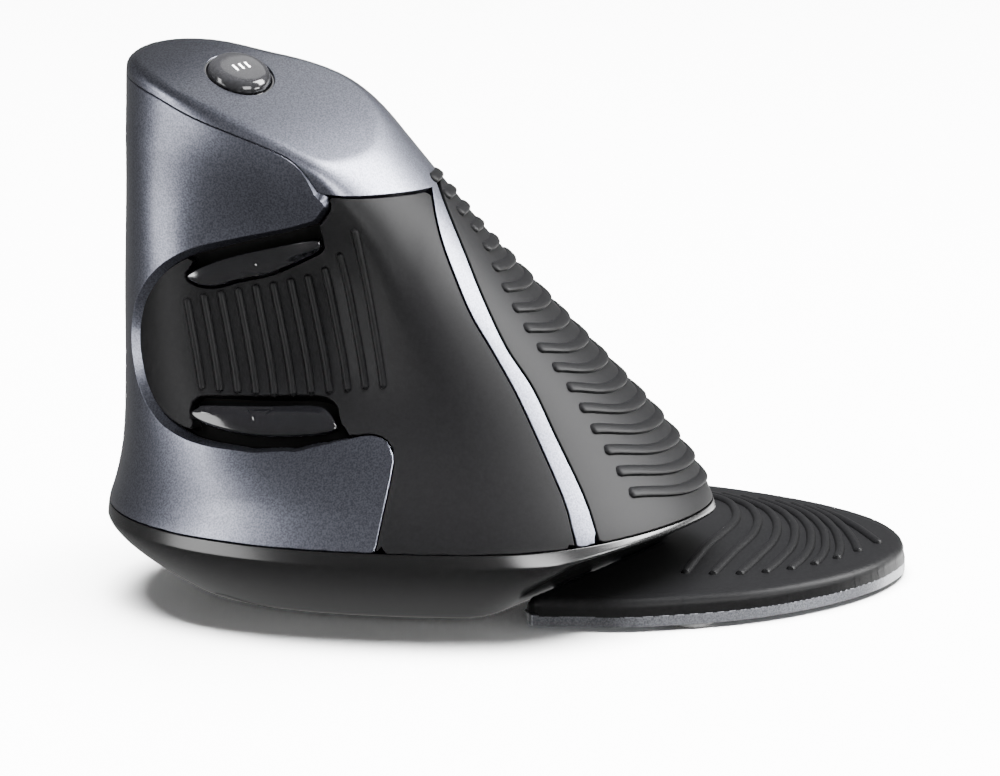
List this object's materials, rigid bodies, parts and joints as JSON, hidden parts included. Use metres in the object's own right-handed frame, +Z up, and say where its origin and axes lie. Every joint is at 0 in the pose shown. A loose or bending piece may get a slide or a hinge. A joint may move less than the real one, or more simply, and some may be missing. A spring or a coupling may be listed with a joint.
{
  "type": "computer mouse",
  "caption": "Right-handed upright computer mouse with a hollowed thumb side, thumb keys, round top key, side scroll wheel and a detachable ribbed palm rest.",
  "frame": {"origin": "on the desk under the middle of the bounding box", "axes": "+Y forward, away from the user's palm; +X to the user's right, the side with the finger keys; +Z up"},
  "size_m": [0.0748, 0.1082, 0.0754],
  "materials": {
    "silver_paint": "metallic silver-grey paint, satin",
    "thumb_black": "satin black",
    "grip_rubber": "matte dark grey",
    "gloss_black": "gloss black",
    "wheel_plastic": "moulded",
    "wheel_rubber": "ribbed",
    "circuit_board": "solder mask",
    "switch_black": "moulded",
    "bright_steel": "plated",
    "screw_steel": "black zinc",
    "clear_lens": "clear moulded",
    "lamp_red": "clear red",
    "knob_red": "moulded",
    "latch_grey": "moulded",
    "cell_wrap": "printed sleeve",
    "slick_pad": "low-friction",
    "soft_pad": "soft"
  },
  "bodies": {
    "mouse": {"roof_shell": "silver_paint", "front_shell": "silver_paint", "thumb_panel": "thumb_black", "back_grip": "grip_rubber", "palm_side_grip": "grip_rubber", "wheel_bezel": "gloss_black", "base_shell": "gloss_black", "chassis_frame": "wheel_plastic", "finger_board": "circuit_board", "thumb_board": "circuit_board", "main_board": "circuit_board", "top_key_board": "circuit_board", "upper_finger_switch": "switch_black", "lower_finger_switch": "switch_black", "wheel_switch": "switch_black", "upper_thumb_switch": "switch_black", "lower_thumb_switch": "switch_black", "top_key_switch": "switch_black", "controller_chip": "switch_black", "radio_chip": "switch_black", "tracking_sensor": "switch_black", "power_switch_body": "switch_black", "timing_crystal": "bright_steel", "battery_plate": "bright_steel", "battery_spring": "bright_steel", "case_screw_a": "screw_steel", "case_screw_b": "screw_steel", "sensor_lens": "clear_lens", "sensor_lamp": "lamp_red", "battery_cell": "cell_wrap", "glide_foot_right": "slick_pad", "glide_foot_front": "slick_pad", "glide_foot_rear": "slick_pad"},
    "battery_door": {"battery_door": "gloss_black", "glide_foot_door": "slick_pad"},
    "receiver": {"usb_receiver": "switch_black", "receiver_plug": "bright_steel"},
    "power_knob": {"power_switch_knob": "knob_red"},
    "upper_finger_key": {"upper_finger_key": "silver_paint"},
    "lower_finger_key": {"lower_finger_key": "silver_paint"},
    "upper_thumb_key": {"upper_thumb_key": "gloss_black"},
    "lower_thumb_key": {"lower_thumb_key": "gloss_black"},
    "round_top_key": {"round_top_key": "gloss_black"},
    "wheel_carrier": {"wheel_cradle": "wheel_plastic", "wheel_encoder": "circuit_board"},
    "wheel": {"wheel_hub": "wheel_plastic", "wheel_tyre": "wheel_rubber"},
    "palm_rest": {"palm_rest_band": "silver_paint", "palm_rest_cover": "grip_rubber", "palm_pad_left": "soft_pad", "palm_pad_rear": "soft_pad", "palm_pad_right": "soft_pad"},
    "palm_latch": {"palm_latch": "latch_grey"}
  },
  "joints": [
    {"name": "upper_finger_click", "type": "hinge", "parent": "mouse", "child": "upper_finger_key", "pos_m": [0.0084, 0.01447, 0.04], "axis": [0, 0, 1], "range_deg": [0, 1], "stiffness_Nm_per_rad": 1},
    {"name": "lower_finger_click", "type": "hinge", "parent": "mouse", "child": "lower_finger_key", "pos_m": [0.0084, 0.01447, 0.04], "axis": [0, 0, 1], "range_deg": [0, 1], "stiffness_Nm_per_rad": 1},
    {"name": "round_key_press", "type": "slide", "parent": "mouse", "child": "round_top_key", "axis": [0.3343, 0.2672, -0.9038], "range_m": [0, 0.0005], "stiffness_N_per_m": 1000},
    {"name": "upper_thumb_press", "type": "slide", "parent": "mouse", "child": "upper_thumb_key", "axis": [1, 0, 0], "range_m": [0, 0.0005], "stiffness_N_per_m": 1200},
    {"name": "lower_thumb_press", "type": "slide", "parent": "mouse", "child": "lower_thumb_key", "axis": [1, 0, 0], "range_m": [0, 0.0005], "stiffness_N_per_m": 1200},
    {"name": "wheel_press", "type": "slide", "parent": "mouse", "child": "wheel_carrier", "axis": [-1, 0, 0], "range_m": [0, 0.0005], "stiffness_N_per_m": 1500},
    {"name": "wheel_spin", "type": "hinge", "parent": "wheel_carrier", "child": "wheel", "pos_m": [0.0064, 0.03287, 0.0407], "axis": [0, 0, 1], "continuous": true},
    {"name": "battery_door_hinge", "type": "hinge", "parent": "mouse", "child": "battery_door", "pos_m": [-0.01575, 0.03787, 0.0007], "axis": [1, 0, 0], "range_deg": [0, 75]},
    {"name": "receiver_pull", "type": "slide", "parent": "mouse", "child": "receiver", "axis": [0, 0, -1], "range_m": [0, 0.022]},
    {"name": "power_slide", "type": "slide", "parent": "mouse", "child": "power_knob", "axis": [0, 1, 0], "range_m": [0, 0.0022]},
    {"name": "palm_rest_pull", "type": "slide", "parent": "mouse", "child": "palm_rest", "axis": [0.4, -0.9165, 0], "range_m": [0, 0.03]},
    {"name": "palm_latch_slide", "type": "slide", "parent": "palm_rest", "child": "palm_latch", "axis": [0.4, -0.9165, 0], "range_m": [0, 0.0035], "stiffness_N_per_m": 300}
  ]
}
